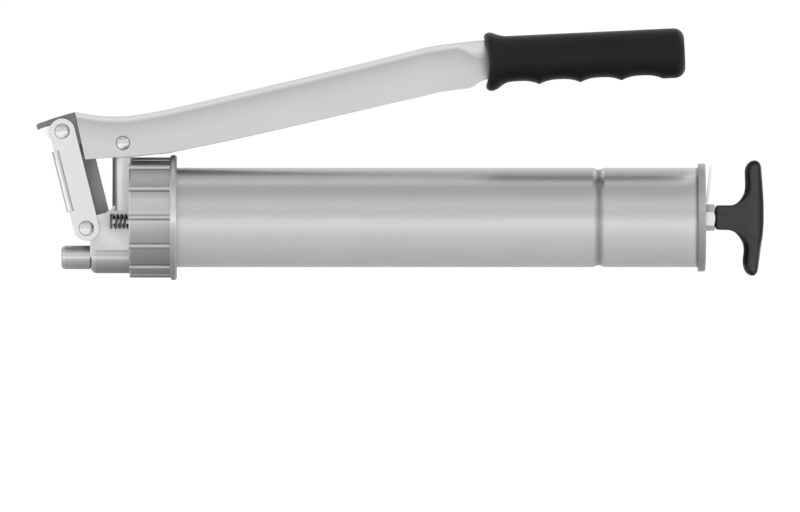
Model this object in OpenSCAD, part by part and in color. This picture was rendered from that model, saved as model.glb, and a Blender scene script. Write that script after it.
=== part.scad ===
// Lever grease gun. Millimetres. +X runs from the outlet to the T-handle along the barrel axis,
// +Z points to the lever. The origin is on the barrel axis, in the rear face of the head's rim.

/* [Barrel] */
// outer diameter of the grease barrel
barrel_od = 56; // [45:0.5:66]
// wall of the barrel tube
barrel_wall = 1.2; // [0.8:0.1:2]
// barrel length behind the head
barrel_len = 292.6; // [240:1:350]
// how deep the barrel screws into the head
barrel_engage = 18.8; // [12:0.1:20]
// distance of the rolled groove from the barrel's rear end
groove_back = 55.7; // [30:0.1:90]
// width of the rolled groove
groove_w = 5.5; // [3:0.1:8]
// depth of the rolled groove
groove_depth = 1.1; // [0.5:0.1:2]

/* [Head] */
// how far the collar stands proud of the barrel, without its ribs
collar_wall = 4; // [3:0.1:8]
// height of the grip ribs on the collar
rib_h = 1.8; // [0.8:0.1:3]
// width of one grip rib
rib_w = 3.4; // [2:0.1:5]
// number of grip ribs
rib_n = 12; // [8:1:18]
// length of the ribbed collar
collar_len = 22.9; // [20:0.1:28]
// thickness of the rim behind the collar
rim_t = 3.7; // [2:0.1:5]
// height of the rim over the ribs
rim_h = 1.3; // [0.5:0.1:3]
// thickness of the wall between head and barrel
bulkhead_t = 5.6; // [4:0.1:7]
// width of the pump block
block_w = 16; // [14:0.1:20]
// radius of the plunger tower
tower_r = 6.2; // [5.5:0.1:7]
// top of the plunger tower above the barrel axis
tower_top = 33.9; // [30:0.1:35]

/* [Outlet] */
// outer diameter of the outlet stub
outlet_od = 13.4; // [12:0.1:15]
// length of the outlet stub
outlet_len = 16.2; // [12:0.1:22]
// wall radius of the outlet thread
outlet_thread_r = 4.5; // [3.5:0.05:5]
// depth of the outlet thread
outlet_thread_len = 10.4; // [8:0.1:12]
// outlet axis below the barrel axis
outlet_drop = 22.4; // [18:0.1:26]
// diameter of the check ball
ball_d = 7; // [6:0.1:8]

/* [Pump] */
// plunger diameter
plunger_d = 8; // [6:0.1:9]
// running clearance on the radius of every pivot and slide
run_gap = 0.05; // [0.02:0.01:0.1]
// shaft diameter of the pivots
pivot_d = 6; // [4:0.1:7]
// diameter of the domed rivet heads
rivet_head_d = 8.5; // [7:0.1:10]
// height of the domed rivet heads
rivet_head_h = 2.3; // [1.5:0.1:3]

/* [Link] */
// sheet thickness of the link
link_t = 2.5; // [2:0.1:3]
// width of the near cheek
link_w = 14.3; // [12:0.1:18]
// extra width of the far cheek, behind the near one
link_far_extra = 7.2; // [0:0.1:8]

/* [Lever] */
// sheet thickness of the lever
lever_t = 2.4; // [1.5:0.1:3]
// outer width of the lever channel
lever_w = 28; // [27:0.1:34]
// bend radius of the lever channel
lever_bend_r = 3.2; // [1:0.1:5]

/* [Grip] */
// diameter of the grip
grip_d = 28; // [26:0.1:36]
// length of the grip
grip_len = 112.4; // [95:0.1:130]
// diameter of the grip's lip
grip_lip_d = 32.8; // [30:0.1:40]
// depth of the finger grooves
finger_depth = 2.2; // [0.5:0.1:2.6]

/* [Rear end] */
// how far the end cap stands proud of the barrel
cap_lip = 2.35; // [1:0.05:4]
// thickness of the end cap
cap_t = 4.2; // [4:0.1:6]
// follower rod diameter
rod_d = 8; // [6:0.1:9]
// hex size over corners of the lock nut
nut_corners = 15; // [14:0.1:18]
// depth of the T-handle bar seen from behind
handle_depth = 12.4; // [10:0.1:16]

/* [Springs] */
// mean radius of the follower spring
follower_spring_r = 20; // [16:0.5:22]
// wire of the follower spring
follower_wire = 2.2; // [1.5:0.1:3]

/* [Hidden] */
$fn = 96;

barrel_r = barrel_od / 2;
barrel_in_r = barrel_r - barrel_wall;
collar_r = barrel_r + collar_wall;
rib_r = collar_r + rib_h;
rim_r = rib_r + rim_h;
rim_round = 0.9;
head_face = -rim_t - collar_len;
bulk_in = head_face + bulkhead_t;
barrel_bore_r = barrel_r + run_gap;
gasket_t = 2;

// The pump, the lever and the grip ride up with a thicker barrel.
lift = barrel_r - 28;
pin_x = -30.1;
pin_z = 41.8 + lift;
low_x = -50.7;
low_z = -6;
up_x = -64.3;
up_z = 48.4 + lift;
link_len = sqrt(pow(up_x - low_x, 2) + pow(up_z - low_z, 2));
link_lean = atan2(low_x - up_x, up_z - low_z);
pivot_r = pivot_d / 2;
pivot_hole_r = pivot_r + run_gap;
fixed_hole_r = pivot_r + 0.02;

block_half = block_w / 2;
link_in = block_half + 0.6;
link_out = link_in + link_t;
lever_half = max(lever_w / 2, link_out + 0.5 + lever_t);
lever_in = lever_half - lever_t;
nose_half = link_in - 0.3;
nose_cheek = nose_half - 0.2;

block_left = -48.7;
shelf_low = 1.35;
shelf_high = 3.6;
boss_r = 9;
boss_round = 4;
tower_z = tower_top + lift;
plunger_r = plunger_d / 2;
plunger_bottom = -13;
bore_bottom = -14;
feed_r = 2.5;
port_r = 3;
port_z = 2;
outlet_z = -outlet_drop;
outlet_tip = block_left - outlet_len;
spigot_r = outlet_thread_r + 0.45;
spigot_len = 4.7;
ball_r = ball_d / 2;
seat_r = 2.2;
seat_x = -36;
ball_x = seat_x - sqrt(ball_r * ball_r - seat_r * seat_r) - 0.02;
valve_bore_r = ball_r + 0.7;
spring_room_r = 3.2;
check_spring_x = -51.7;
check_pitch = 2;
check_turns = 5;
check_wire = 0.8;
check_mean_r = 2.4;
seal_z = 28 + lift;
seal_h = 2.8;
seal_r = 5.3;

vent_y = -block_half - 4.6;
vent_z = -2.2;
vent_r = 1.6;
vent_out = -37.4;
vent_head_t = 1.2;
vent_disc_r = 4;
vent_disc_t = 1.4;
vent_seal_t = 0.8;
vent_wire = 1.3;
vent_mean_r = 3.65;
vent_turns = 3.5;
vent_pitch = (head_face - vent_out - 1.4 - vent_wire) / vent_turns;

cap_x = barrel_len;
cap_out = barrel_len + cap_t;
cap_r = barrel_r + cap_lip;
cap_spigot = 6.6;
cap_spigot_wall = 4.5;
rod_r = rod_d / 2;
latch_t = 1.3;
latch_half = 6.6;
latch_base = cap_out - 0.05;
pocket_deep = 2.6;
pocket_low = -8.4;
pocket_high = 18;
pocket_half = 7.4;

follower_front = -14.4;
nut_t = 5;
washer_t = 1.5;
cup_t = 3;
cup_front = -17.5;
plate_t = 1.5;
cup_x = follower_front + washer_t;
plate_x = cup_x + cup_t;
rear_nut_x = plate_x + plate_t;
rod_front = follower_front - nut_t + 0.5;
lock_x = cap_out + 0.15;
lock_t = 5.35;
handle_x = lock_x + lock_t + 0.05;
handle_shift = barrel_len - 292.6;
rod_back = handle_x + 14;
nut_hole_r = rod_r + 0.02;

grip_tilt = 2.67;
grip_x = 173;
grip_z = 87.4 + lift;
grip_r = grip_d / 2;
grip_lip_r = grip_lip_d / 2;
grip_throat_r = 13;
grip_bore_r = grip_r - finger_depth - 1.2;

module along_x(x, y, z) {
    translate([x, y, z])
        rotate([0, 90, 0])
            children();
}

module rod_x(x0, x1, r, y = 0, z = 0) {
    along_x(x0, y, z)
        cylinder(h = x1 - x0, r = r);
}

module pin_y(x, z, r, half) {
    translate([x, half, z])
        rotate([90, 0, 0])
            cylinder(h = 2 * half, r = r);
}

module plate_y(y0, y1, points) {
    translate([0, y1, 0])
        rotate([90, 0, 0])
            linear_extrude(height = y1 - y0)
                polygon(points);
}

module box(low, high) {
    translate(low)
        cube(high - low);
}

module turned(points) {
    rotate([0, 90, 0])
        rotate([0, 0, 180])
            rotate_extrude()
                polygon([for (p = points) [p[1], p[0]]]);
}

module dome(r, h) {
    ball = (r * r + h * h) / (2 * h);
    intersection() {
        translate([0, 0, h - ball])
            sphere(r = ball);
        cylinder(h = h, r = r + 0.5);
    }
}

module rivet(x, z, r, head_r, half) {
    pin_y(x, z, r, half);
    translate([x, -half, z])
        rotate([90, 0, 0])
            dome(head_r, rivet_head_h);
    translate([x, half, z])
        rotate([-90, 0, 0])
            dome(head_r, rivet_head_h);
}

function coil_point(r, wire, pitch, seg, i, sides, k) = let (
    a = 360 * i / seg,
    b = 360 * k / sides,
    rr = r + wire / 2 * cos(b)
) [rr * cos(a), rr * sin(a), pitch * i / seg + wire / 2 * sin(b)];

module coil(r, wire, pitch, turns, seg, sides) {
    n = round(turns * seg);
    points = [for (i = [0:n]) for (k = [0:sides - 1]) coil_point(r, wire, pitch, seg, i, sides, k)];
    walls = [
        for (i = [0:n - 1]) for (k = [0:sides - 1])
            let (a = i * sides + k, b = i * sides + (k + 1) % sides)
                each [[a, b, a + sides], [b, b + sides, a + sides]]
    ];
    first = [for (k = [0:sides - 1]) sides - 1 - k];
    last = [for (k = [0:sides - 1]) n * sides + k];
    translate([0, 0, wire / 2])
        polyhedron(points = points, faces = concat([first], walls, [last]));
}

module hex(h) {
    cylinder(h = h, r = nut_corners / 2, $fn = 6);
}

module head_body() {
    rotate([180, 0, 0])
        turned([[head_face, 0], [head_face, collar_r - 0.8], [head_face + 0.8, collar_r],
                [-rim_t, collar_r], [-rim_t, rim_r - rim_round],
                [-rim_t + rim_round, rim_r], [-rim_round, rim_r],
                [0, rim_r - rim_round], [0, 0]]);
    for (i = [0:rib_n - 1])
        rotate([i * 360 / rib_n, 0, 0])
            rod_x(head_face, -rim_t + 0.1, rib_w / 2, 0, rib_r - rib_w / 2);
    translate([pin_x, 0, outlet_z])
        cylinder(h = tower_z - outlet_z, r = tower_r);
    box([pin_x, -tower_r, outlet_z], [head_face + 0.5, tower_r, tower_z]);
    plate_y(-block_half, block_half, [
        [block_left, outlet_z], [block_left, low_z], [low_x, low_z + 5], [low_x + 6, shelf_low],
        [pin_x - tower_r, shelf_high], [head_face + 0.5, shelf_high], [head_face + 0.5, outlet_z]
    ]);
    difference() {
        box([pin_x - tower_r - 3, -4, shelf_high - 1], [pin_x - 3, 4, shelf_high + 3]);
        pin_y(pin_x - tower_r - 3, shelf_high + 3, 3, 5);
    }
    pin_y(low_x, low_z, 6.6, block_half);
    turned_boss();
}

module turned_boss() {
    translate([0, 0, outlet_z]) {
        turned([[block_left + boss_round, 0], [block_left + boss_round, boss_r],
                [head_face + 1, boss_r], [head_face + 1, 0]]);
        along_x(block_left + boss_round, 0, 0)
            rotate_extrude()
                translate([boss_r - boss_round, 0])
                    circle(r = boss_round);
        rod_x(block_left, head_face, boss_r - boss_round);
    }
}

module head_casting() {
    color([0.72, 0.73, 0.74])
        difference() {
            head_body();
            rod_x(bulk_in, 1, barrel_bore_r);
            translate([pin_x, 0, bore_bottom])
                cylinder(h = tower_z - bore_bottom + 1, r = plunger_r + run_gap);
            translate([pin_x, 0, outlet_z])
                cylinder(h = bore_bottom - outlet_z + 1, r = feed_r);
            translate([pin_x, 0, seal_z])
                cylinder(h = seal_h, r = seal_r);
            rod_x(pin_x, bulk_in + 1, port_r, 0, port_z);
            rod_x(seat_x - 1, pin_x, seat_r, 0, outlet_z);
            rod_x(block_left - 1, seat_x, valve_bore_r, 0, outlet_z);
            rod_x(block_left - 1, block_left + spigot_len + 0.05, spigot_r + 0.02, 0, outlet_z);
            rod_x(head_face - 1, bulk_in + 1, vent_r + run_gap, vent_y, vent_z);
            pin_y(low_x, low_z, fixed_hole_r, block_half + 1);
        }
}

module outlet_adapter() {
    color([0.7, 0.71, 0.72])
        difference() {
            translate([0, 0, outlet_z])
                turned([[outlet_tip, 0], [outlet_tip, outlet_od / 2 - 1.6],
                        [outlet_tip + 0.5, outlet_od / 2 - 0.7],
                        [outlet_tip + 1.9, outlet_od / 2], [block_left, outlet_od / 2],
                        [block_left, spigot_r], [block_left + spigot_len, spigot_r],
                        [block_left + spigot_len, 0]]);
            rod_x(outlet_tip - 1, outlet_tip + outlet_thread_len, outlet_thread_r, 0, outlet_z);
            rod_x(outlet_tip, block_left + 1, 1.8, 0, outlet_z);
            rod_x(check_spring_x - 0.3, block_left + 10, spring_room_r, 0, outlet_z);
        }
}

module check_ball() {
    color([0.8, 0.8, 0.82])
        translate([ball_x, 0, outlet_z])
            sphere(r = ball_r);
}

module check_spring() {
    color([0.45, 0.46, 0.48])
        along_x(check_spring_x, 0, outlet_z)
            coil(check_mean_r, check_wire, check_pitch, check_turns - 0.4, 16, 6);
}

module plunger_seal() {
    color([0.1, 0.1, 0.1])
        translate([pin_x, 0, seal_z + 0.1])
            difference() {
                cylinder(h = seal_h - 0.2, r = seal_r - 0.05);
                translate([0, 0, -1])
                    cylinder(h = seal_h + 2, r = plunger_r + run_gap);
            }
}

module vent_stem() {
    color([0.6, 0.6, 0.62]) {
        rod_x(vent_out + 0.3, bulk_in + vent_seal_t + vent_disc_t, vent_r, vent_y, vent_z);
        rod_x(bulk_in + vent_seal_t, bulk_in + vent_seal_t + vent_disc_t, vent_disc_r,
              vent_y, vent_z);
    }
}

module vent_button() {
    color([0.3, 0.3, 0.32])
        difference() {
            rod_x(vent_out, vent_out + vent_head_t, 4.2, vent_y, vent_z);
            rod_x(vent_out + 0.3, vent_out + vent_head_t + 1, vent_r + 0.02, vent_y, vent_z);
        }
}

module vent_spring() {
    color([0.25, 0.25, 0.27])
        along_x(vent_out + vent_head_t + 0.1, vent_y, vent_z)
            coil(vent_mean_r, vent_wire, vent_pitch, vent_turns, 24, 8);
}

module vent_seal() {
    color([0.1, 0.1, 0.1])
        difference() {
            rod_x(bulk_in + 0.02, bulk_in + vent_seal_t, vent_disc_r - 0.2, vent_y, vent_z);
            rod_x(bulk_in - 1, bulk_in + 2, vent_r + 0.02, vent_y, vent_z);
        }
}

module lower_pivot_rivet() {
    color([0.86, 0.86, 0.87])
        rivet(low_x, low_z, pivot_r, rivet_head_d / 2, link_out + 0.1);
}

module pump_plunger() {
    color([0.75, 0.76, 0.78])
        difference() {
            union() {
                translate([pin_x, 0, plunger_bottom])
                    cylinder(h = pin_z - plunger_bottom, r = plunger_r);
                pin_y(pin_x, pin_z, 6.2, 5);
            }
            pin_y(pin_x, pin_z, pivot_hole_r, 10);
        }
}

module in_link() {
    translate([low_x, 0, low_z])
        rotate([0, -link_lean, 0])
            children();
}

module cheek(y0, y1) {
    for (z = [0, link_len])
        translate([0, y1, z])
            rotate([90, 0, 0])
                cylinder(h = y1 - y0, r = link_w / 2);
    box([-link_w / 2, y0, 0], [link_w / 2, y1, link_len]);
}

module link_channel() {
    web_left = -8.4;
    color([0.8, 0.8, 0.81])
        in_link()
            difference() {
                union() {
                    cheek(-link_out, -link_in);
                    cheek(link_in, link_out);
                    plate_y(link_in, link_out, [
                        [0, -5.5], [link_w / 2 + link_far_extra - 2, -5.5],
                        [link_w / 2 + link_far_extra, -3.5], [link_w / 2 + link_far_extra, 42],
                        [link_w / 2, 50], [0, 50]
                    ]);
                    difference() {
                        translate([0, 0, 11.3])
                            linear_extrude(height = 34.7)
                                web_section(web_left, link_out, 2.4);
                        box([web_left + link_t, -link_in, 0], [20, link_in, 60]);
                    }
                }
                pin_y(0, 0, pivot_hole_r, 20);
                pin_y(0, link_len, fixed_hole_r, 20);
            }
}

module web_section(left, half, r) {
    translate([left + r, -half])
        square([link_w / 2 - left - r - 2, 2 * half]);
    translate([left, -half + r])
        square([r + 1, 2 * (half - r)]);
    for (s = [-1, 1])
        translate([left + r, s * (half - r)])
            circle(r = r);
}

module upper_pivot_rivet() {
    color([0.86, 0.86, 0.87])
        rivet(up_x, up_z, pivot_r, rivet_head_d / 2, link_out);
}

// One station across the lever: top point, bottom point, half width. The bend is rounded.
function lever_ring(s) = let (
    h = sqrt(pow(s[2] - s[0], 2) + pow(s[3] - s[1], 2)),
    ux = (s[2] - s[0]) / h,
    uz = (s[3] - s[1]) / h,
    w = s[4],
    t = lever_t,
    r = lever_bend_r,
    flat = concat(
        [[-w, h]],
        [for (a = [0:18:90]) [-w + r - r * cos(a), r - r * sin(a)]],
        [for (a = [90:-18:0]) [w - r + r * cos(a), r - r * sin(a)]],
        [[w, h], [w - t, h], [w - t, t + 1], [w - t - 1, t], [-w + t + 1, t], [-w + t, t + 1],
         [-w + t, h]]
    )
) [for (p = flat) [s[0] + ux * p[1], p[0], s[1] + uz * p[1]]];

module lever_sheet(stations) {
    n = len(lever_ring(stations[0]));
    m = len(stations);
    points = [for (s = stations) each lever_ring(s)];
    walls = [
        for (i = [0:m - 2]) for (k = [0:n - 1])
            let (a = i * n + k, b = i * n + (k + 1) % n)
                each [[a, b, a + n], [b, b + n, a + n]]
    ];
    cap = [
        [0, 1, 18], [0, 18, 19], [1, 2, 18], [2, 3, 18], [3, 4, 18], [4, 17, 18], [4, 5, 17],
        [5, 6, 17], [6, 7, 16], [6, 16, 17], [7, 8, 16], [8, 9, 16], [9, 15, 16], [9, 10, 15],
        [10, 11, 15], [11, 12, 15], [12, 13, 14], [12, 14, 15]
    ];
    first = [for (c = cap) [c[2], c[1], c[0]]];
    last = [for (c = cap) [for (k = c) (m - 1) * n + k]];
    polyhedron(points = points, faces = concat(first, walls, last));
}

module lever_channel() {
    color([0.82, 0.82, 0.83])
        difference() {
            translate([0, 0, lift]) {
                lever_blank();
                lever_nose();
            }
            pin_y(pin_x, pin_z, fixed_hole_r, 30);
            lever_slot();
        }
}

// The pressed channel, which narrows to a tang inside the grip.
module lever_blank() {
    w = lever_half;
    tang_w = grip_bore_r * 0.68;
    tang_h = grip_bore_r * 0.715;
    lever_sheet([
        [-57.1, 59.3, -51.3, 32.5, w], [-50, 58.1, -44.5, 33.1, w],
        [-42, 57.1, -37.6, 33.5, w], [-34, 56.7, -30.5, 33.9, w],
        [-26, 57.1, -23.8, 34.3, w], [-17, 58.4, -14.5, 35.3, w],
        [-8, 60.1, -5.2, 36.2, w], [3, 62.5, 7, 38.7, w], [15, 65.2, 20, 41.3, w],
        [35.4, 70, 41, 45.8, w], [80.3, 80.7, 86, 56.1, w],
        [120, 90.5, 125.3, 65.3, w], [131.4, 93.4, 136.5, 67.7, w],
        [142, 95.9, 146, 70.2, w], [151.5, 97.3, 155.8, 71.7, w * 0.94],
        [158, 98.1, 161, 72.2, w * 0.85], [164, 98.8, 166, 73.4, w * 0.72],
        [169, 98.9, 170, 76.4, w * 0.56], [173, 98.8, 173, 78, w * 0.5],
        [180, 96.6, 180, 79.6, w * 0.47],
        [186, 88 + tang_h, 186, 88 - tang_h, tang_w],
        [262, 91.6 + tang_h, 262, 91.6 - tang_h, tang_w]
    ]);
}

// The narrower front end, which hangs between the cheeks of the link.
module lever_nose() {
    plate_y(-nose_half, nose_half, [
        [-78.8, 51.3], [-78.3, 52.6], [-70.2, 55.4], [-57.5, 59.1], [-50, 57.3],
        [-40.3, 56.1], [-40.3, 54.1], [-57, 56.2], [-70, 52.6], [-77.6, 50]
    ]);
    for (s = [0, 1])
        plate_y(s ? nose_cheek - lever_t : -nose_cheek,
                s ? nose_cheek : -nose_cheek + lever_t, [
            [-78, 51.4], [-77.1, 49.4], [-70.6, 43.4], [-64, 41], [-57, 40.6],
            [-43, 45], [-41.2, 55.1], [-57, 57.3], [-70, 53.7]
        ]);
}

// The open pivot: the rivet of the link rides in this wide hole as the lever swings.
module lever_slot() {
    pin_y(up_x + 0.8, up_z, pivot_r + 1, 12);
}

module lever_grip() {
    color([0.08, 0.08, 0.08])
        translate([grip_x, 0, grip_z])
            rotate([0, -grip_tilt, 0])
                difference() {
                    grip_blank();
                    rod_x(-1, 8.5, grip_throat_r);
                    rod_x(8, grip_len - 18, grip_bore_r);
                    for (x = [0:3])
                        finger_cut(18.5 + x * 23.1);
                }
}

module finger_cut(x) {
    span = 10.6;
    r = (span * span + finger_depth * finger_depth) / (2 * finger_depth);
    pin_y(x, -grip_r + finger_depth - r, r, 20);
}

module grip_blank() {
    turned([[0, 0], [0, grip_lip_r - 1.6], [0.5, grip_lip_r - 0.5], [1.6, grip_lip_r],
            [4.2, grip_lip_r - 0.4], [7.4, grip_r + 0.6], [10, grip_r],
            [grip_len - 6, grip_r], [grip_len - 6, 0]]);
    along_x(grip_len - 6, 0, 0)
        rotate_extrude()
            translate([grip_r - 6, 0])
                circle(r = 6);
    rod_x(grip_len - 7, grip_len, grip_r - 6);
}

module plunger_pin() {
    color([0.9, 0.9, 0.91])
        rivet(pin_x, pin_z, pivot_r, 4, lever_half);
}

module pin_spacers() {
    color([0.6, 0.61, 0.63])
        difference() {
            pin_y(pin_x, pin_z, 4.8, lever_in - 0.05);
            pin_y(pin_x, pin_z, 6, 5.25);
            pin_y(pin_x, pin_z, fixed_hole_r, 30);
        }
}

module head_gasket() {
    color([0.12, 0.12, 0.12])
        difference() {
            rod_x(bulk_in + 0.05, bulk_in + gasket_t, barrel_r - 0.2);
            rod_x(bulk_in - 1, bulk_in + gasket_t + 1, barrel_r - 4);
        }
}

module barrel_tube() {
    groove_x = barrel_len - groove_back;
    round_r = (pow(groove_w / 2, 2) + pow(groove_depth, 2)) / (2 * groove_depth);
    away = barrel_r - groove_depth + round_r;
    mouth = -barrel_engage;
    color([0.75, 0.76, 0.77])
        difference() {
            union() {
                difference() {
                    rod_x(mouth, barrel_len, barrel_r);
                    rod_x(mouth - 1, barrel_len + 1, barrel_in_r);
                }
                difference() {
                    rod_x(groove_x - 4, groove_x + 4, barrel_in_r + 0.3);
                    rod_x(groove_x - 5, groove_x + 5, barrel_in_r - groove_depth);
                }
            }
            along_x(groove_x, 0, 0)
                rotate_extrude()
                    translate([away, 0])
                        circle(r = round_r);
        }
}

module end_cap() {
    color([0.68, 0.69, 0.7])
        difference() {
            union() {
                turned([[cap_x, 0], [cap_x, cap_r], [cap_out - 0.6, cap_r],
                        [cap_out, cap_r - 0.6], [cap_out, 0]]);
                rod_x(cap_x - cap_spigot, cap_x + 0.5, barrel_in_r - 0.05);
            }
            rod_x(cap_x - cap_spigot - 1, cap_x, barrel_in_r - cap_spigot_wall);
            rod_x(cap_x - 10, cap_out + 1, rod_r + run_gap);
            box([cap_out - pocket_deep, -pocket_half, pocket_low],
                [cap_out + 1, pocket_half, pocket_high]);
        }
}

module follower_spring() {
    front = rear_nut_x + 0.05;
    span = cap_x - 0.05 - front - follower_wire;
    turns = 21;
    color([0.5, 0.51, 0.53])
        along_x(front, 0, 0)
            coil(min(follower_spring_r, barrel_in_r - cap_spigot_wall - follower_wire / 2 - 0.3),
                 follower_wire, span / turns, turns, 20, 6);
}

module latch_plate() {
    x = latch_base - latch_t;
    t = latch_t;
    color([0.85, 0.85, 0.86])
        difference() {
            plate_y(-latch_half, latch_half, [
                [x, pocket_low + 0.5], [x, 7.9], [x + 1.9, 9.2], [x + 4, 29.6],
                [x + 4 + t, 29.5], [x + 1.9 + t, 8.4], [x + t, 7.7], [x + t, pocket_low + 0.5]
            ]);
            rod_x(x - 1, x + t + 0.02, rod_r + 0.5);
        }
}

module latch_spring() {
    color([0.45, 0.45, 0.47])
        along_x(cap_out - pocket_deep + 0.6, 0, 0)
            rotate_extrude()
                translate([rod_r + 1.6, 0])
                    circle(r = 0.5, $fn = 24);
}

module follower_rod() {
    color([0.72, 0.73, 0.75])
        rod_x(rod_front, rod_back, rod_r);
}

module follower_cup() {
    r = barrel_in_r - 0.2;
    hold = r - 2;
    color([0.07, 0.07, 0.07])
        difference() {
            rod_x(cup_front, plate_x, r);
            rod_x(cup_front - 1, cup_x, hold);
            rod_x(cup_front - 1, plate_x + 1, nut_hole_r);
        }
}

module follower_washer() {
    color([0.65, 0.66, 0.68])
        difference() {
            rod_x(follower_front, cup_x, 12);
            rod_x(follower_front - 1, cup_x + 1, nut_hole_r);
        }
}

module follower_plate() {
    color([0.62, 0.63, 0.65])
        difference() {
            rod_x(plate_x, rear_nut_x, barrel_in_r - groove_depth - 1.2);
            rod_x(plate_x - 1, rear_nut_x + 1, nut_hole_r);
        }
}

module follower_nuts() {
    color([0.68, 0.69, 0.7])
        for (x = [follower_front - nut_t, rear_nut_x])
            difference() {
                along_x(x, 0, 0)
                    hex(nut_t);
                rod_x(x - 1, x + nut_t + 1, nut_hole_r);
            }
}

module lock_nut() {
    color([0.84, 0.84, 0.85])
        difference() {
            along_x(lock_x, 0, 0)
                rotate([0, 0, 7])
                    intersection() {
                        hex(lock_t);
                        translate([0, 0, lock_t - 11.6])
                            sphere(r = 13.2);
                    }
            rod_x(lock_x - 1, lock_x + lock_t + 1, nut_hole_r);
        }
}

module handle_outline() {
    translate([handle_shift, 0])
        polygon([
            [302.4, 6.95], [311.8, 6.9], [313.8, 7.6], [315.6, 9], [317.4, 11.3], [318.4, 13.4],
            [319, 16], [319.1, 18.3], [318.9, 22.5], [318.8, 25.8], [319.3, 28.4], [320.3, 30.1],
            [321.6, 31.3], [323, 32], [324.7, 32.4], [326.5, 31.7], [327.6, 30.4], [328.2, 28.8],
            [328.6, 24.5], [329.1, 17.9], [329.5, 11], [329.7, 5.2], [329.7, 0], [329.6, -4.2],
            [329, -11.2], [327.9, -18.2], [327, -26.2], [326.5, -29.4], [325.8, -31.3],
            [324.6, -32.6], [323.3, -33], [320.9, -32.2], [319.5, -31], [318.4, -29],
            [317.6, -26.2], [317.7, -23.4], [318.3, -19.2], [318.1, -15.8], [317.4, -13.6],
            [316.2, -11.6], [315, -9.9], [313.2, -8.2], [310.6, -7.1], [302.4, -6.95]
        ]);
}

module t_handle() {
    half = handle_depth / 2;
    front = handle_x;
    bar_x = handle_shift + 317;
    color([0.06, 0.06, 0.06])
        difference() {
            union() {
                intersection() {
                    translate([0, 10, 0])
                        rotate([90, 0, 0])
                            linear_extrude(height = 20)
                                handle_outline();
                    translate([0, 0, -40])
                        linear_extrude(height = 80)
                            polygon([
                                [front, -half], [bar_x, -half], [bar_x + 5, -half * 0.98],
                                [bar_x + 9, -half * 0.86], [bar_x + 11.6, -half * 0.62],
                                [bar_x + 12.8, -half * 0.25], [bar_x + 12.8, half * 0.25],
                                [bar_x + 11.6, half * 0.62], [bar_x + 9, half * 0.86],
                                [bar_x + 5, half * 0.98], [bar_x, half], [front, half]
                            ]);
                    rotate([0, 90, 0])
                        linear_extrude(height = 400)
                            handle_front();
                }
                rod_x(front, handle_shift + 316, 6.95);
            }
            rod_x(front - 1, rod_back + 0.5, nut_hole_r);
        }
}

module handle_front() {
    half = handle_depth / 2;
    for (z = [-27.4, 26.6])
        translate([-z, 0])
            circle(r = half);
    translate([-26.6, -half])
        square([54, 2 * half]);
}

head_casting();
outlet_adapter();
check_ball();
check_spring();
plunger_seal();
vent_stem();
vent_button();
vent_spring();
vent_seal();
lower_pivot_rivet();
pump_plunger();
link_channel();
upper_pivot_rivet();
lever_channel();
lever_grip();
plunger_pin();
pin_spacers();
head_gasket();
barrel_tube();
end_cap();
follower_spring();
latch_plate();
latch_spring();
follower_rod();
follower_cup();
follower_washer();
follower_plate();
follower_nuts();
lock_nut();
t_handle();
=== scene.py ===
# Lever grease gun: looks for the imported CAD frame. Metres, same frame as the CAD.
import math

import bmesh
import bpy
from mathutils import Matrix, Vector


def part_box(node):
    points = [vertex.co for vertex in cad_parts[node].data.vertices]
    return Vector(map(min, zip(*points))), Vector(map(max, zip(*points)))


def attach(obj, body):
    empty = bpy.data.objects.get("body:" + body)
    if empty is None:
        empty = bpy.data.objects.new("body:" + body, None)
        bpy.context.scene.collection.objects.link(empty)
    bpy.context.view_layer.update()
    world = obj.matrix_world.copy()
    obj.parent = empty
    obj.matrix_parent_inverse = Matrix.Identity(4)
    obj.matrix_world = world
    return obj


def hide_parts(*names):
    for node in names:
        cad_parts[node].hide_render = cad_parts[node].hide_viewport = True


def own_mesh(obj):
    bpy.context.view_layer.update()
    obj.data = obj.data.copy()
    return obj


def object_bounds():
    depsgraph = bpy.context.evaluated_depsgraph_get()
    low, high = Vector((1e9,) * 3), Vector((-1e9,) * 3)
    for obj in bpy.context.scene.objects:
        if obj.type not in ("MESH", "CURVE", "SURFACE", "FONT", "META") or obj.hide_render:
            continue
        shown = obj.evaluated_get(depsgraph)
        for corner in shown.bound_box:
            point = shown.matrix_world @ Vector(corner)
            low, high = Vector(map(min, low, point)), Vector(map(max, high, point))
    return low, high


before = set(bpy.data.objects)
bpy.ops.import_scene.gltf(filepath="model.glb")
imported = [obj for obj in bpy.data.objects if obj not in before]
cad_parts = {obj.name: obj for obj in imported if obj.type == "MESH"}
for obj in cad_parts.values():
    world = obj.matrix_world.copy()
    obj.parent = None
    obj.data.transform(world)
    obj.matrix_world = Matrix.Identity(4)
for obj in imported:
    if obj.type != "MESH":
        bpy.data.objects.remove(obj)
CAD_BOX = [list(c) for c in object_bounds()]
MM = 0.001


# ---------------------------------------------------------------- node helpers
def new_material(name):
    m = bpy.data.materials.new(name)
    m.use_nodes = True
    t = m.node_tree
    t.nodes.clear()
    out = t.nodes.new("ShaderNodeOutputMaterial")
    bsdf = t.nodes.new("ShaderNodeBsdfPrincipled")
    t.links.new(bsdf.outputs["BSDF"], out.inputs["Surface"])
    return m, t, bsdf


def coords(t, scale):
    """Object coordinates, stretched: scale is how many cells there are in a metre along X, Y, Z."""
    tex = t.nodes.new("ShaderNodeTexCoord")
    mapping = t.nodes.new("ShaderNodeMapping")
    mapping.inputs["Scale"].default_value = scale
    t.links.new(tex.outputs["Object"], mapping.inputs["Vector"])
    return mapping.outputs["Vector"]


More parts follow.
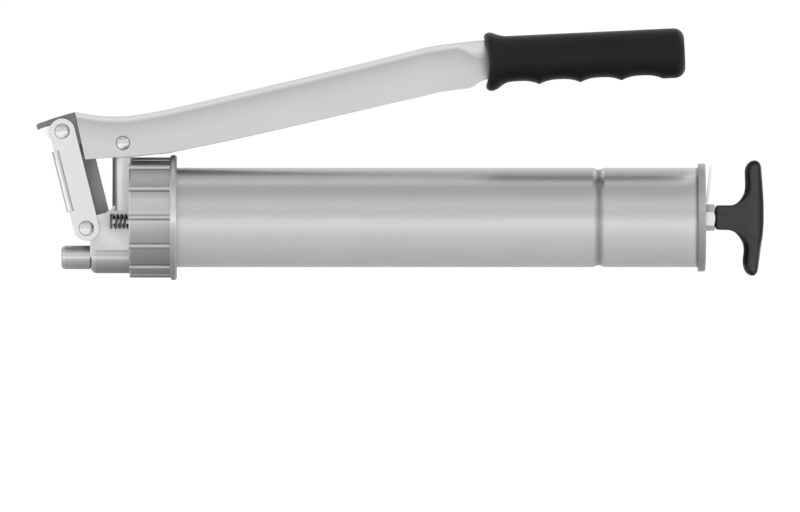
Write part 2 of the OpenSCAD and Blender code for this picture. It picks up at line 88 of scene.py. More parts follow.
def noise(t, scale, detail=4.0, rough=0.55):
    """Cloudy noise; scale is cells in a metre along X, Y, Z."""
    n = t.nodes.new("ShaderNodeTexNoise")
    n.inputs["Scale"].default_value = 1.0
    n.inputs["Detail"].default_value = detail
    n.inputs["Roughness"].default_value = rough
    t.links.new(coords(t, scale), n.inputs["Vector"])
    return n.outputs["Fac"]


def ramp(t, fac, stops):
    """Turns a factor into a grey or a colour by (position, value) stops."""
    r = t.nodes.new("ShaderNodeValToRGB")
    e = r.color_ramp.elements
    while len(e) < len(stops):
        e.new(0.5)
    for element, (pos, value) in zip(e, stops):
        element.position = pos
        c = value if isinstance(value, tuple) else (value, value, value)
        element.color = (*c, 1.0)
    t.links.new(fac, r.inputs["Fac"])
    return r.outputs["Color"]


def mix(t, fac, a, b):
    """Colour a where fac is 0, b where it is 1."""
    m = t.nodes.new("ShaderNodeMix")
    m.data_type = "RGBA"
    t.links.new(fac, m.inputs["Factor"])
    for socket, value in ((m.inputs[6], a), (m.inputs[7], b)):
        if isinstance(value, tuple):
            socket.default_value = (*value, 1.0)
        else:
            t.links.new(value, socket)
    return m.outputs[2]


def bump(t, height, strength, distance, bsdf):
    """Roughens the surface by a height, whose full depth is distance, in metres."""
    b = t.nodes.new("ShaderNodeBump")
    b.inputs["Strength"].default_value = strength
    b.inputs["Distance"].default_value = distance
    t.links.new(height, b.inputs["Height"])
    t.links.new(b.outputs["Normal"], bsdf.inputs["Normal"])


def edges(t, low=0.52, high=0.6):
    """1 on the outer edges, where handling has polished them."""
    g = t.nodes.new("ShaderNodeNewGeometry")
    return ramp(t, g.outputs["Pointiness"], [(low, 0.0), (high, 1.0)])


def tint(c, k):
    """A colour made k times lighter."""
    return tuple(min(1.0, v * k) for v in c)


def facing(t, axis, stops):
    """A factor by how far a face points along an axis of its own piece."""
    tex = t.nodes.new("ShaderNodeTexCoord")
    split = t.nodes.new("ShaderNodeSeparateXYZ")
    t.links.new(tex.outputs["Normal"], split.inputs[0])
    half = t.nodes.new("ShaderNodeMath")
    half.operation = "MULTIPLY_ADD"
    half.inputs[1].default_value = 0.5
    half.inputs[2].default_value = 0.5
    t.links.new(split.outputs[axis], half.inputs[0])
    return ramp(t, half.outputs[0], [((n + 1) / 2, value) for n, value in stops])


def multiply(t, colour, grey):
    m = t.nodes.new("ShaderNodeMix")
    m.data_type = "RGBA"
    m.blend_type = "MULTIPLY"
    m.inputs["Factor"].default_value = 1.0
    t.links.new(colour, m.inputs[6])
    t.links.new(grey, m.inputs[7])
    return m.outputs[2]


# ---------------------------------------------------------------- materials
def metal(name, base, rough, grain, grain_depth, patch=0.05, spread=0.06, metallic=1.0,
          shades=(), shade_by_depth=None):
    """Bare metal: grain is cells in a metre along X, Y, Z, grain_depth its depth in metres.
    shades multiply its colour by the way its faces point: painted shade, mostly on faces turned
    down, and painted highlights.
    The depth stops darken it by the mesh's own depth below a folded edge or in a rolled groove:
    painted shade."""
    m, t, bsdf = new_material(name)
    bsdf.inputs["Metallic"].default_value = metallic
    fine = noise(t, grain, 6.0, 0.6)
    broad = noise(t, (28, 36, 36), 3.0)
    body = ramp(t, broad, [(0.3, tint(base, 1 - patch)), (0.7, tint(base, 1 + patch))])
    streaked = mix(t, ramp(t, fine, [(0.3, 0.0), (0.75, 0.3)]), body, tint(base, 1 - 2.2 * patch))
    colour = mix(t, edges(t), streaked, tint(base, 1.2))
    # painted light and shade, by the way each face points
    for axis, stops in shades:
        colour = multiply(t, colour, facing(t, axis, stops))
    # painted shade, by the depth below a bend or in a groove
    if shade_by_depth:
        depth = t.nodes.new("ShaderNodeAttribute")
        depth.attribute_name = "shade_by_depth"
        colour = multiply(t, colour, ramp(t, depth.outputs["Fac"], shade_by_depth))
    t.links.new(colour, bsdf.inputs["Base Color"])
    t.links.new(ramp(t, fine, [(0.25, rough - spread), (0.75, rough + spread)]),
                bsdf.inputs["Roughness"])
    bump(t, fine, 0.5, grain_depth, bsdf)
    return m


def dark_plastic(name, base, rough, grain, depth, coat, specular):
    """Rubber and soft plastic: grain is cells in a metre, less sheen where it faces down."""
    m, t, bsdf = new_material(name)
    bsdf.inputs["Coat Weight"].default_value = coat
    bsdf.inputs["Coat Roughness"].default_value = 0.22
    t.links.new(facing(t, "Z", [(-0.9, specular * 0.15), (-0.3, specular * 0.6), (0.1, specular),
                                (1, specular * 1.2)]), bsdf.inputs["Specular IOR Level"])
    fine = noise(t, (grain, grain, grain), 3.0, 0.5)
    broad = noise(t, (45, 45, 45), 4.0)
    body = ramp(t, broad, [(0.3, tint(base, 0.85)), (0.7, tint(base, 1.2))])
    rubbed = mix(t, edges(t, 0.515, 0.6), body, tint(base, 1.9))
    t.links.new(rubbed, bsdf.inputs["Base Color"])
    t.links.new(ramp(t, broad, [(0.3, rough - 0.06), (0.75, rough + 0.08)]),
                bsdf.inputs["Roughness"])
    bump(t, fine, 0.6, depth, bsdf)
    return m


def plastic_with_lit_faces(name, deep, lit_face):
    """Moulded plastic: glossy and deep in its rounds, matt and a lighter grey on its broad faces,
    the grey a painted highlight.
    """
    m, t, bsdf = new_material(name)
    bsdf.inputs["Specular IOR Level"].default_value = 0.22
    fine = noise(t, (1400, 1400, 1400), 3.0, 0.5)
    broad = noise(t, (60, 60, 60), 4.0)
    # the broad faces that point along Y get the lighter grey: painted highlight
    flat = facing(t, "Y", [(-0.97, 1.0), (-0.78, 0.0), (0.78, 0.0), (0.97, 1.0)])
    cloud = ramp(t, broad, [(0.3, tint(lit_face, 0.85)), (0.7, tint(lit_face, 1.2))])
    t.links.new(mix(t, flat, deep, cloud), bsdf.inputs["Base Color"])
    t.links.new(mix(t, flat, (0.16, 0.16, 0.16), (0.38, 0.38, 0.38)), bsdf.inputs["Roughness"])
    bump(t, fine, 0.5, 0.00001, bsdf)
    return m


def hammered(name, base):
    """Rivet heads: bright, with the dents of the riveting tool and a painted shade round the foot
    of the dome.
    """
    m, t, bsdf = new_material(name)
    bsdf.inputs["Metallic"].default_value = 1.0
    dents = t.nodes.new("ShaderNodeTexVoronoi")
    dents.feature = "SMOOTH_F1"
    dents.inputs["Scale"].default_value = 1.0
    dents.inputs["Smoothness"].default_value = 0.6
    t.links.new(coords(t, (420, 420, 420)), dents.inputs["Vector"])
    fine = noise(t, (900, 900, 900), 4.0)
    bright = ramp(t, fine, [(0.3, tint(base, 0.9)), (0.7, base)])
    # the dome's sloping foot, turned away from Y, is darkened: painted shade
    rim_shade = facing(t, "Y", [(-0.68, 1.0), (-0.58, 0.22), (0.58, 0.22), (0.68, 1.0)])
    t.links.new(multiply(t, bright, rim_shade), bsdf.inputs["Base Color"])
    t.links.new(ramp(t, fine, [(0.3, 0.22), (0.7, 0.36)]), bsdf.inputs["Roughness"])
    bump(t, dents.outputs["Distance"], 0.7, 0.0004, bsdf)
    return m


# its shades are painted light and shade: darker on faces turned down, a painted highlight on level
# faces and on edges half turned to the sides
CAST = metal("cast_alloy", (0.72, 0.73, 0.725), 0.32, (900, 900, 900), 0.000008, 0.04, 0.03, 0.8,
             shades=[("Z", [(-1, 0.3), (-0.7, 0.36), (-0.3, 0.5), (-0.12, 0.66), (-0.04, 0.95),
                            (0.05, 1.0), (0.14, 0.84), (0.3, 0.86), (0.55, 0.68), (1, 0.74)]),
                     ("X", [(-0.95, 0.62), (-0.7, 1.0), (-0.3, 1.0), (-0.08, 0.88), (0.08, 0.88),
                            (0.3, 1.0), (0.7, 1.0), (0.95, 0.62)])])
# its shades paint shade below and a painted highlight band near the top; its depth stops paint
# shade in the groove
BARREL = metal("barrel_satin", (0.6, 0.61, 0.61), 0.35, (35, 1400, 1400), 0.000004, 0.012, 0.02,
               shades=[("Z", [(-1, 0.72), (-0.4, 0.8), (-0.15, 0.94), (0.3, 0.9), (0.62, 0.88),
                              (0.7, 1.12), (0.82, 1.35), (0.9, 1.0)])],
               shade_by_depth=[(0.0, 1.0), (0.5, 0.8), (1.0, 0.5)])
# its shades paint shade on the faces turned down
CAP = metal("cap_satin", (0.4, 0.41, 0.41), 0.38, (1200, 1200, 1200), 0.000008, 0.03,
            shades=[("Z", [(-0.85, 0.5), (-0.6, 0.57), (-0.3, 0.6), (-0.15, 0.68), (0, 0.82),
                           (0.15, 1.0)])])
# its shades are painted light and shade: highlights on the bends, shade on the flat and
# sloping-down faces, the top toned down; its depth stops paint a shade just below the top bend that
# lightens down the face
SHEET = metal("lever_zinc", (0.95, 0.955, 0.955), 0.4, (60, 900, 900), 0.000006, 0.015, 0.03,
              shades=[("Z", [(-0.9, 0.95), (-0.5, 0.52), (-0.1, 0.645), (0.12, 0.645), (0.5, 1.0),
                             (0.8, 1.0), (0.97, 0.74)])],
              shade_by_depth=[(0.125, 1.0), (0.15, 0.8), (0.2, 0.83), (0.26, 0.87), (0.36, 0.93), (0.5, 0.97),
                    (0.7, 1.0)])
# a dark copy of the nose's own sheet, for its roof and the cheeks' overhung part: painted shade
NOSE_SHADE = metal("nose_painted_shade", (0.2, 0.205, 0.205), 0.45, (500, 500, 500), 0.00001, 0.06)
NOSE_CHEEK = metal("nose_zinc", (0.9, 0.9, 0.9), 0.45, (500, 500, 500), 0.00001, 0.03)
# its shades are painted light and shade: dark lines on faces turned to the sides, a painted
# highlight on the web's bend, darker below
LINK = metal("link_zinc", (0.84, 0.845, 0.845), 0.4, (700, 700, 700), 0.000008, 0.02, 0.04,
             shades=[("X", [(-1, 0.3), (-0.8, 0.5), (-0.45, 1.0), (-0.1, 0.74), (0.1, 0.74),
                            (0.5, 0.3)]),
                     ("Z", [(-0.6, 0.7), (-0.1, 1.0)])])
LINK_INSIDE_SHADE = metal("link_shade", (0.3, 0.3, 0.3), 0.5, (500, 500, 500), 0.00001, 0.05)
STEEL = metal("turned_steel", (0.5, 0.51, 0.52), 0.32, (900, 300, 300), 0.000002, 0.04)
BRIGHT = metal("bright_steel", (0.72, 0.72, 0.73), 0.3, (600, 600, 600), 0.000005, 0.03, 0.05)
# its shades paint shade on the faces turned down
NUT = metal("nut_zinc", (0.66, 0.66, 0.67), 0.26, (600, 600, 600), 0.000005, 0.02, 0.04,
            shades=[("Z", [(-0.7, 0.36), (-0.3, 0.5), (-0.1, 0.9), (0.3, 1.0), (0.8, 0.8)])])
DARK = metal("spring_steel", (0.1, 0.1, 0.105), 0.3, (900, 900, 900), 0.00001, 0.1)
RIVET = hammered("rivet_bright", (0.74, 0.74, 0.75))
RUBBER = dark_plastic("seal_rubber", (0.02, 0.02, 0.02), 0.6, 1800, 0.00002, 0.0, 0.35)
GRIP = dark_plastic("grip_rubber", (0.0065, 0.0063, 0.0058), 0.42, 2600, 0.00002, 0.0, 0.2)
HANDLE = plastic_with_lit_faces("handle_plastic", (0.003, 0.0029, 0.0027), (0.043, 0.042, 0.039))

NODE_MATERIAL = {
    "head_casting": CAST, "outlet_adapter": CAST, "check_ball": BRIGHT, "check_spring": DARK,
    "plunger_seal": RUBBER, "vent_stem": STEEL, "vent_button": DARK, "vent_spring": DARK,
    "vent_seal": RUBBER, "lower_pivot_rivet": RIVET, "pump_plunger": STEEL,
    "link_channel": LINK, "upper_pivot_rivet": RIVET, "lever_channel": SHEET,
    "lever_grip": GRIP, "plunger_pin": RIVET, "pin_spacers": STEEL, "head_gasket": RUBBER,
    "barrel_tube": BARREL, "end_cap": CAP, "follower_spring": STEEL, "latch_plate": BRIGHT,
    "latch_spring": DARK, "follower_rod": STEEL, "follower_cup": RUBBER,
    "follower_washer": STEEL, "follower_plate": STEEL, "follower_nuts": STEEL,
    "lock_nut": NUT, "t_handle": HANDLE,
}
BEVEL = {
    "head_casting": 0.55, "outlet_adapter": 0.3, "link_channel": 0.35, "end_cap": 0.3,
    "lock_nut": 0.3, "latch_plate": 0.2, "pump_plunger": 0.4, "vent_button": 0.25,
    "vent_stem": 0.15, "pin_spacers": 0.2, "follower_rod": 0.3,
}


def paint(obj, material):
    obj.data.materials.clear()
    obj.data.materials.append(material)


def smooth(obj, angle=32):
    for p in obj.data.polygons:
        p.use_smooth = True
    obj.data.set_sharp_from_angle(angle=math.radians(angle))


def bevel(obj, width, segments=3, angle=35):
    b = obj.modifiers.new("edge", "BEVEL")
    b.width = width * MM
    b.segments = segments
    b.limit_method = "ANGLE"
    b.angle_limit = math.radians(angle)
    b.use_clamp_overlap = True
    b.harden_normals = True
    return b


# ---------------------------------------------------------------- mesh helpers
def mesh_object(name, verts, faces):
    me = bpy.data.meshes.new(name)
    me.from_pydata([tuple(v) for v in verts], [], faces)
    me.validate()
    o = bpy.data.objects.new(name, me)
    bpy.context.scene.collection.objects.link(o)
    bm = bmesh.new()
    bm.from_mesh(me)
    bmesh.ops.recalc_face_normals(bm, faces=bm.faces)
    bm.to_mesh(me)
    bm.free()
    return o


def curve_points(points, steps):
    """A smooth (Catmull-Rom) line through lists of numbers."""
    n = len(points)
    out = []
    for i in range(n - 1):
        p0, p1 = points[max(i - 1, 0)], points[i]
        p2, p3 = points[i + 1], points[min(i + 2, n - 1)]
        for s in range(steps):
            u = s / steps
            out.append([
                0.5 * (2 * b + (c - a) * u + (2 * a - 5 * b + 4 * c - d) * u * u
                       + (3 * b - a - 3 * c + d) * u ** 3)
                for a, b, c, d in zip(p0, p1, p2, p3)
            ])
    out.append(list(points[-1]))
    return out


def skin(name, rings, closed_ends=True, loop=False):
    """Joins rings of equal length with quads."""
    n = len(rings[0])
    verts = [p for r in rings for p in r]
    faces = []
    last = len(rings) if loop else len(rings) - 1
    for i in range(last):
        a, b = i * n, ((i + 1) % len(rings)) * n
        for k in range(n):
            k2 = (k + 1) % n
            faces.append((a + k, a + k2, b + k2, b + k))
    if closed_ends and not loop:
        faces.append(tuple(range(n)))
        faces.append(tuple((len(rings) - 1) * n + k for k in range(n)))
    return mesh_object(name, verts, faces)


def mark(obj, depths):
    """Writes the depth that the material's painted shade reads, one number a vertex."""
    shade_by_depth = obj.data.attributes.new("shade_by_depth", "FLOAT", "POINT")
    for k, depth in enumerate(depths):
        shade_by_depth.data[k].value = depth


def lathe(name, profile, segments=192):
    """Turns a closed profile of (x, r), in mm, about the barrel axis."""
    rings = []
    for s in range(segments):
        a = 2 * math.pi * s / segments
        rings.append([(x * MM, r * math.cos(a) * MM, r * math.sin(a) * MM) for x, r in profile])
    return skin(name, rings, loop=True)


def arc(cx, cy, r, start, end, steps):
    """Points of an arc, angles in degrees."""
    return [
        (cx + r * math.cos(math.radians(start + (end - start) * k / steps)),
         cy + r * math.sin(math.radians(start + (end - start) * k / steps)))
        for k in range(steps + 1)
    ]


def place(obj, body, material, *nodes, angle=32):
    paint(obj, material)
    smooth(obj, angle)
    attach(obj, body)
    if nodes:
        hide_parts(*nodes)
    return obj


# ---------------------------------------------------------------- barrel
BARREL_WALL = 1.2
GROOVE_FROM_END = 55.7
GROOVE_HALF = 2.75
GROOVE_DEEP = 1.1


def barrel():
    """The rolled tube, with the groove that keeps the follower from leaving it."""
    lo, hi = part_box("barrel_tube")
    x0, x1 = lo[0] / MM, hi[0] / MM
    r = hi[2] / MM
    inner = r - BARREL_WALL
    groove_x, half, deep = x1 - GROOVE_FROM_END, GROOVE_HALF, GROOVE_DEEP
    outer = [(x0, r - 0.6), (x0 + 0.6, r)]
    outer += [(x0 + (groove_x - half - 1.4 - x0) * k / 24, r) for k in range(1, 25)]
    groove = []
    for k in range(-10, 11):
        u = k / 10
        groove.append((groove_x + u * (half + 0.6), r - deep * math.cos(u * math.pi / 2) ** 1.3))
    outer += groove
    outer += [(groove_x + half + 1.4, r)]
    outer += [(groove_x + 6 + (x1 - 0.4 - groove_x - 6) * k / 6, r) for k in range(0, 7)]
    outer += [(x1, r - 0.3), (x1, inner)]
    bead = [(x, y - BARREL_WALL) for x, y in reversed(groove)]
    profile = outer + bead + [(x0, inner)]
    around = 240
    tube = lathe("barrel_shell", profile, around)
    dip = {p: (r - p[1]) / deep for p in groove}
    # the groove's depth, which the barrel's material reads as painted shade
    mark(tube, [dip.get(p, 0.0) for p in profile] * around)
    place(tube, "barrel", BARREL, "barrel_tube", angle=40)


# ---------------------------------------------------------------- lever
LEVER_T = 2.4  # thickness of the folded sheet
LEVER_R = 3.2  # outer radius of its bends
NECK_START = 156
NECK_LENGTH = 13
NECK_DEEPER = 6.4
SHADE_SPAN = 25  # depth below the bend, in mm, at which the material's painted shade reads 1
HALF = (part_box("lever_channel")[1][1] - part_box("lever_channel")[0][1]) / 2 / MM
# along the lever: x and z of the top edge, x and z of the bottom edge, share of the full width
STATIONS = [
    (-57.1, 59.3, -51.3, 32.5, 1), (-50, 58.0, -44.5, 33.1, 1), (-42, 57.0, -37.6, 33.5, 1),
    (-34, 56.7, -30.5, 33.9, 1), (-26, 57.1, -23.8, 34.3, 1), (-17, 58.4, -14.5, 35.3, 1),
    (-8, 60.1, -5.2, 36.2, 1), (3, 62.5, 7, 38.7, 1), (15, 65.2, 20, 41.3, 1),
    (35.4, 70, 41, 45.8, 1), (80.3, 80.7, 86, 56.1, 1), (120, 90.5, 125.3, 65.3, 1),
    (131.4, 93.4, 136.5, 67.7, 1), (142, 95.9, 146, 70.2, 1), (151.5, 97.3, 155.8, 71.7, 0.94),
    (158, 98.1, 161, 72.2, 0.87), (164, 98.9, 166, 73.3, 0.79), (169, 99.4, 170, 76.0, 0.71),
    (174, 99.5, 174, 77.6, 0.63), (180, 98.6, 180, 78.4, 0.56),
]


def lever_ring(s):
    """One section of the channel, and for the material's painted shade how deep each point is below
    the bend.
    """
    xt, zt, xb, zb, wide = s
    w = HALF * wide
    h = math.hypot(xb - xt, zb - zt)
    ux, uz = (xb - xt) / h, (zb - zt) / h
    t = LEVER_T
    # the bend grows into a round back where the channel necks down to the grip
    neck = min(1.0, max(0.0, (xt - NECK_START) / NECK_LENGTH))
    neck = neck * neck * (3 - 2 * neck)
    deep = LEVER_R + neck * NECK_DEEPER
    r = min(deep, w * 0.8)
    ri = max(0.8, LEVER_R - t)
    flat = [(-w, h), (-w, h * 0.75), (-w, h * 0.55)]
    flat += [(-w + r - r * math.cos(math.radians(a)), deep - deep * math.sin(math.radians(a)))
             for a in range(0, 91, 10)]
    flat += [(-w * 0.15, 0), (w * 0.15, 0)]
    flat += [(w - r + r * math.cos(math.radians(a)), deep - deep * math.sin(math.radians(a)))
             for a in range(90, -1, -10)]
    flat += [(w, h * 0.55), (w, h * 0.75), (w, h), (w - t, h), (w - t, h * 0.5)]
    flat += [(w - t - ri + ri * math.cos(math.radians(a)), t + ri - ri * math.sin(math.radians(a)))
             for a in range(0, 91, 30)]
    flat += [(-w + t + ri - ri * math.cos(math.radians(a)), t + ri - ri * math.sin(math.radians(a)))
             for a in range(90, -1, -30)]
    flat += [(-w + t, h * 0.5), (-w + t, h)]
    points = [((xt + ux * d) * MM, y * MM, (zt + uz * d) * MM) for y, d in flat]
    return points, [(d - deep + LEVER_R) / SHADE_SPAN for _, d in flat]


def plate(name, outline, y0, y1):
    """A flat plate: outline of (x, z) in mm, between two depths."""
    n = len(outline)
    verts = [(x * MM, y0 * MM, z * MM) for x, z in outline]
    verts += [(x * MM, y1 * MM, z * MM) for x, z in outline]
    faces = [tuple(range(n)), tuple(range(n, 2 * n))]
    faces += [(k, (k + 1) % n, n + (k + 1) % n, n + k) for k in range(n)]
    return mesh_object(name, verts, faces)


def lever():
    """The folded channel, the tang in the grip and the nose that the link is riveted to."""
    made = [lever_ring(s) for s in curve_points(STATIONS, 6)]
    sheet = skin("lever_sheet", [points for points, _ in made])
    # the depth below the bend, which the sheet's material reads as painted shade
    mark(sheet, [d for _, depths in made for d in depths])
    place(sheet, "lever", SHEET, "lever_channel", angle=38)
    bevel(sheet, 0.35, 2, 50)

    tang = skin("lever_tang", [
        [(x * MM, y * MM, (z + dz) * MM) for y, dz in
         ((-6.5, -6.5), (-6.5, 5), (-5, 6.5), (5, 6.5), (6.5, 5), (6.5, -6.5))]
        for x, z in ((178, 88), (200, 88.7), (230, 90.1), (262, 91.6))
    ])
    place(tang, "lever", SHEET)

    half = 8.3  # half the width of the nose
    roof_top = [(-78.8, 51.3), (-78.3, 52.5), (-70.2, 55.4), (-62, 57.9), (-57.5, 59.1),
                (-50, 57.3), (-41, 56.2)]
    roof_under = [(-41, 54.2), (-50, 55.2), (-57, 56.2), (-63.5, 54.4), (-70, 51.8), (-78.2, 49.2)]
    roof = plate("lever_nose_roof", roof_top + roof_under, -half, half)
    # the roof takes the dark copy of the sheet: painted shade
    place(roof, "lever", NOSE_SHADE)
    bevel(roof, 0.5, 3, 40)
    cheek = [(-78, 51.3), (-77.1, 49.5), (-73.8, 46.2), (-70.6, 43.4), (-67.4, 41.9), (-64, 41.1),
             (-60.4, 40.8), (-57, 40.7), (-50, 42.6), (-43, 45), (-41.4, 55), (-50, 56),
             (-57, 57.2), (-70, 53.6)]
    for side in (-1, 1):
        a, b = sorted((side * (half - 0.2), side * (half - 0.2 - LEVER_T)))
        c = plate("lever_nose_cheek_" + ("near" if side < 0 else "far"), cheek, a, b)
        place(c, "lever", NOSE_CHEEK)
        bevel(c, 0.4, 2, 40)
    # thin dark plates laid just outside the cheeks, under the link: painted shade
    shade = [(-62, 56.6), (-57, 57.2), (-50, 56), (-41.4, 55), (-43, 45), (-50, 42.6), (-56, 41)]
    for side in (-1, 1):
        a, b = sorted((side * (half - 0.25), side * (half - 0.05)))
        c = plate("lever_nose_shade_" + ("near" if side < 0 else "far"), shade, a, b)
        place(c, "lever", NOSE_SHADE)


# ---------------------------------------------------------------- link
def link_web():
    """The folded back of the link, whose bends stand a little proud of the cheeks."""
    low = Vector((-50.7, 0, -6.0))  # lower rivet
    high = Vector((-64.3, 0, 48.4))  # upper rivet
    along = (high - low).normalized()
    across = Vector((along.z, 0, -along.x))
    side = [(-4.3, 11.0), (-4.7, 11.25), (-5.4, 11.5), (-6.3, 11.55), (-7.2, 11.25), (-7.9, 10.6),
            (-8.35, 9.7), (-8.5, 8.6), (-8.5, 4.0)]
    outline = [(x, -y) for x, y in side] + [(x, y) for x, y in reversed(side)]
    outline += [(-5.95, 8.6), (-5.95, -8.6)]
    rings = []
    for d, grow in ((11.1, -0.25), (11.3, 0.0), (20, 0.0), (29, 0.0), (38, 0.0), (46, 0.0),
                    (46.2, -0.25)):
        ring = []
        for x, y in outline:
            y += -grow if y < 0 else grow
            p = low + along * d + across * x
            ring.append((p.x * MM, y * MM, p.z * MM))
        rings.append(ring)
    web = skin("link_web", rings)
    place(web, "link", LINK, angle=45)


# ---------------------------------------------------------------- grip
def grip():
    """The moulded sleeve: a flared lip at its mouth and four finger troughs below."""
    tilt = math.radians(2.67)
    axis_x, axis_z = 173.0, 87.4
    length, r, lip = 112.4, 14.0, 16.4
    deep, first, pitch, troughs = 2.3, 18.5, 23.1, 4
    outer = [(0.0, lip - 2.4), (0.2, lip - 1.5), (0.8, lip - 0.7), (1.9, lip - 0.1),
             (3.2, lip + 0.1), (4.6, lip - 0.15), (6.2, lip - 0.75), (7.8, r + 1.0),
             (9.4, r + 0.5), (11.0, r + 0.15)]
    outer += [(12.2 + (length - 7 - 12.2) * k / 120, r) for k in range(121)]
    outer += arc(length - 6, r - 6, 6, 86, 8, 12)
    outer += [(length - 0.05, r - 8), (length, 4), (length, 0.4)]
    inner = [(0.0, 13.4), (0.5, 12.9), (6.5, 12.6), (8.5, 10.8), (30, 10.8)]
    around = 96
    rings = []
    for x, rad in list(reversed(inner)) + outer:
        ring = []
        for k in range(around):
            a = 2 * math.pi * k / around
            y, z = rad * math.cos(a), rad * math.sin(a)
            # the mouth is cut back on both sides, where the lever's cheeks go in
            x_here = x + 2.6 * math.cos(a) ** 2 * max(0.0, 1 - x / 9) ** 1.5
            if rad > 13.5 and 6.9 < x < 16 + troughs * pitch:
                # rounded finger troughs on the underside, sharp-nosed cusps between them
                u = (x - first + pitch / 2) / pitch
                cell = u - math.floor(u)
                trough = 1 - abs(2 * cell - 1) ** 2.6 if 0 <= u < troughs else 0.0
                under = max(0.0, -math.sin(a)) ** 1.6
                z += deep * trough * under
            ring.append((x_here, y, z))
        rings.append(ring)
    ca, sa = math.cos(tilt), math.sin(tilt)
    rings = [[((axis_x + x * ca - z * sa) * MM, y * MM, (axis_z + x * sa + z * ca) * MM)
              for x, y, z in ring] for ring in rings]
    body = skin("grip_sleeve", rings)
    place(body, "lever", GRIP, "lever_grip", angle=50)


# ---------------------------------------------------------------- T-handle
def t_handle():
    """The moulded handle: the CAD shape, remeshed and softened as a moulding is."""
    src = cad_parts["t_handle"]
    o = bpy.data.objects.new("handle_moulding", src.data.copy())
    bpy.context.scene.collection.objects.link(o)
    o.matrix_world = src.matrix_world
    r = o.modifiers.new("remesh", "REMESH")
    r.mode = "VOXEL"
    r.voxel_size = 0.65 * MM
    apply_modifiers(o)
    round_the_pull(o)
    s = o.modifiers.new("soften", "SMOOTH")
    s.factor = 0.5
    s.iterations = 14
    apply_modifiers(o)
    place(o, "rod", HANDLE, "t_handle", angle=80)


def round_the_pull(o):
    """Rounds the side of the bar that the fingers pull, and leaves the palm side flat."""
    step = 1.3 * MM  # height of the slices that the bar is measured in
    stem_half, blend = 8.5, 6
    pull_share, palm_share, least = 0.62, 0.14, 0.12
    rows = {}
    for v in o.data.vertices:
        k = round(v.co.z / step)
        lo, hi = rows.get(k, (v.co.x, v.co.x))
        rows[k] = (min(lo, v.co.x), max(hi, v.co.x))
    for v in o.data.vertices:
        fade = min(1.0, max(0.0, (abs(v.co.z) / MM - stem_half) / blend))
        lo, hi = rows[round(v.co.z / step)]
        t = (v.co.x - lo) / max(hi - lo, step)
        pull = math.sqrt(1 - (1 - min(1.0, t / pull_share)) ** 2)
        palm = math.sqrt(1 - (1 - min(1.0, (1 - t) / palm_share)) ** 2)
        v.co.y *= 1 - fade * (1 - max(least, pull * palm))


def apply_modifiers(o):
    """Makes the result of the modifiers the object's own mesh."""
    deps = bpy.context.evaluated_depsgraph_get()
    me = bpy.data.meshes.new_from_object(o.evaluated_get(deps))
    o.modifiers.clear()
    o.data = me


# ---------------------------------------------------------------- springs
def coil(name, x0, y, z, r, wire, pitch, turns):
    """A round-wire spring along X, in mm."""
    per_turn, sides = 48, 14
    n = int(turns * per_turn)
    rings = []
    for i in range(n + 1):
        a = 2 * math.pi * i / per_turn
        cx = x0 + wire / 2 + pitch * i / per_turn
        ring = []
        for k in range(sides):
            b = 2 * math.pi * k / sides
            rr = r + wire / 2 * math.cos(b)
            ring.append(((cx + wire / 2 * math.sin(b)) * MM, (y + rr * math.sin(a)) * MM,
                         (z + rr * math.cos(a)) * MM))
        rings.append(ring)
    return skin(name, rings)


def spring(name, node, body, material, wire, turns):
    """A coil in its CAD solid's place, carried by its body."""
    lo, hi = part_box(node)
    y, z = (lo[1] + hi[1]) / 2, (lo[2] + hi[2]) / 2
    length = (hi[0] - lo[0]) / MM
    o = coil(name, lo[0] / MM, y / MM, z / MM, (hi[2] - z) / MM - wire / 2, wire,
             (length - wire) / turns, turns)
    place(o, body, material, node, angle=60)
    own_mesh(o)


def springs():
    """The four springs: three coils and the latch washer's ring."""
    spring("vent_coil", "vent_spring", "head", DARK, 1.3, 3.5)
    spring("follower_coil", "follower_spring", "barrel", STEEL, 2.2, 21)
    spring("check_coil", "check_spring", "head", DARK, 0.8, 4.6)
    lo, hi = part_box("latch_spring")
    wire = (hi[0] - lo[0]) / 2 / MM
    mid = (lo[0] + hi[0]) / 2 / MM
    ring = lathe("latch_ring", arc(mid, hi[2] / MM - wire, wire, 0, 345, 23), 96)
    place(ring, "barrel", DARK, "latch_spring", angle=60)
    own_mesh(ring)


# ---------------------------------------------------------------- CAD nodes
def dress_frame():
    """Gives each CAD node its material, smooth shading and small rounded edges."""
    for name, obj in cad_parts.items():
        paint(obj, NODE_MATERIAL[name])
        smooth(obj)
        if name in BEVEL:
            bevel(obj, BEVEL[name])
    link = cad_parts["link_channel"].data
    link.materials.append(LINK_INSIDE_SHADE)
    cheek_in = 8.6 * MM  # half the gap between the cheeks
    for p in link.polygons:
        # the inner faces of the cheeks and of the web get the darker copy of the sheet: painted
        # shade
        inner_cheek = abs(abs(p.center.y) - cheek_in) < 0.1 * MM and abs(p.normal.y) > 0.9
        inner_web = abs(p.center.y) < cheek_in and p.normal.x > 0.5
        if inner_cheek or inner_web:
            p.material_index = 1


# ---------------------------------------------------------------- studio
VIEW_WIDTH = 0.4494  # what the camera sees across, in metres
VIEW_CENTRE = (0.1253, -0.0216)
DISTANCE = 10.0  # far enough for a view almost without perspective
SENSOR = 36
FLOOR_Z = CAD_BOX[0][2]
FLOOR_R = 60


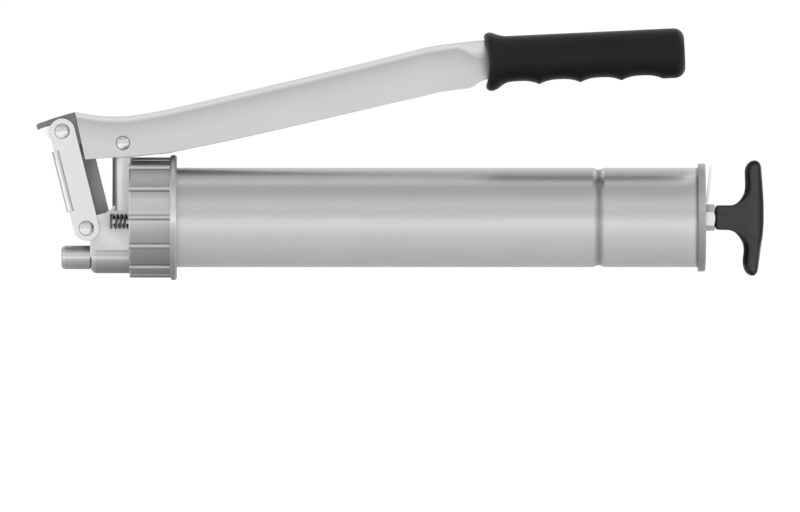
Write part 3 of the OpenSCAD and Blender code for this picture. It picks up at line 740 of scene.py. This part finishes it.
def studio():
    """Camera, floor, sky and soft lights."""
    cam = bpy.data.cameras.new("camera")
    cam.sensor_width = SENSOR
    cam.lens = SENSOR * DISTANCE / VIEW_WIDTH
    cam.clip_end = 400
    o = bpy.data.objects.new("camera", cam)
    o.location = (VIEW_CENTRE[0], -DISTANCE, VIEW_CENTRE[1])
    o.rotation_euler = (math.radians(90), 0, 0)
    bpy.context.scene.collection.objects.link(o)
    bpy.context.scene.camera = o

    sides = 64
    floor = mesh_object("studio_floor", [
        (FLOOR_R * math.cos(2 * math.pi * k / sides), FLOOR_R * math.sin(2 * math.pi * k / sides),
         FLOOR_Z)
        for k in range(sides)
    ], [tuple(range(sides))])
    m, t, bsdf = new_material("floor_white")
    bsdf.inputs["Base Color"].default_value = (0.8, 0.8, 0.8, 1)
    bsdf.inputs["Roughness"].default_value = 1.0
    bsdf.inputs["Specular IOR Level"].default_value = 0.0
    bsdf.inputs["Emission Color"].default_value = (1, 1, 1, 1)
    bsdf.inputs["Emission Strength"].default_value = 0.48
    floor.data.materials.append(m)

    w = bpy.data.worlds.new("studio")
    w.use_nodes = True
    bpy.context.scene.world = w
    t = w.node_tree
    t.nodes.clear()
    out = t.nodes.new("ShaderNodeOutputWorld")
    bg = t.nodes.new("ShaderNodeBackground")
    tex = t.nodes.new("ShaderNodeTexCoord")
    split = t.nodes.new("ShaderNodeSeparateXYZ")
    t.links.new(tex.outputs["Generated"], split.inputs[0])
    # soft bands of light and shade round the studio, by the sine of the elevation
    bands = ramp(t, split.outputs["Z"], [
        (0.0, 1.0), (0.015, 1.0), (0.05, 0.72), (0.2, 0.72), (0.36, 1.0), (0.58, 1.0),
        (0.78, 0.66), (0.94, 0.6), (1.0, 0.85)
    ])
    t.links.new(bands, bg.inputs["Color"])
    bg.inputs["Strength"].default_value = 1.02
    t.links.new(bg.outputs[0], out.inputs[0])

    def softbox(name, location, size, power):
        d = bpy.data.lights.new(name, "AREA")
        d.shape = "RECTANGLE"
        d.size, d.size_y = size
        d.energy = power
        lamp = bpy.data.objects.new(name, d)
        lamp.location = location
        aim = Vector((0.12, 0, 0.02)) - Vector(location)
        lamp.rotation_euler = aim.to_track_quat("-Z", "Y").to_euler()
        lamp.visible_glossy = False
        bpy.context.scene.collection.objects.link(lamp)

    softbox("key", (0.1, -1.3, 0.95), (1.6, 0.5), 3.5)
    softbox("fill", (0.4, 1.4, 1.1), (1.6, 0.7), 3.5)
    softbox("top", (0.1, 0.0, 1.6), (1.2, 0.4), 1.5)

    view = bpy.context.scene.view_settings
    view.view_transform = "Standard"
    view.look = "None"
    view.exposure = 0.0


studio()
dress_frame()
barrel()
lever()
link_web()
grip()
t_handle()
springs()
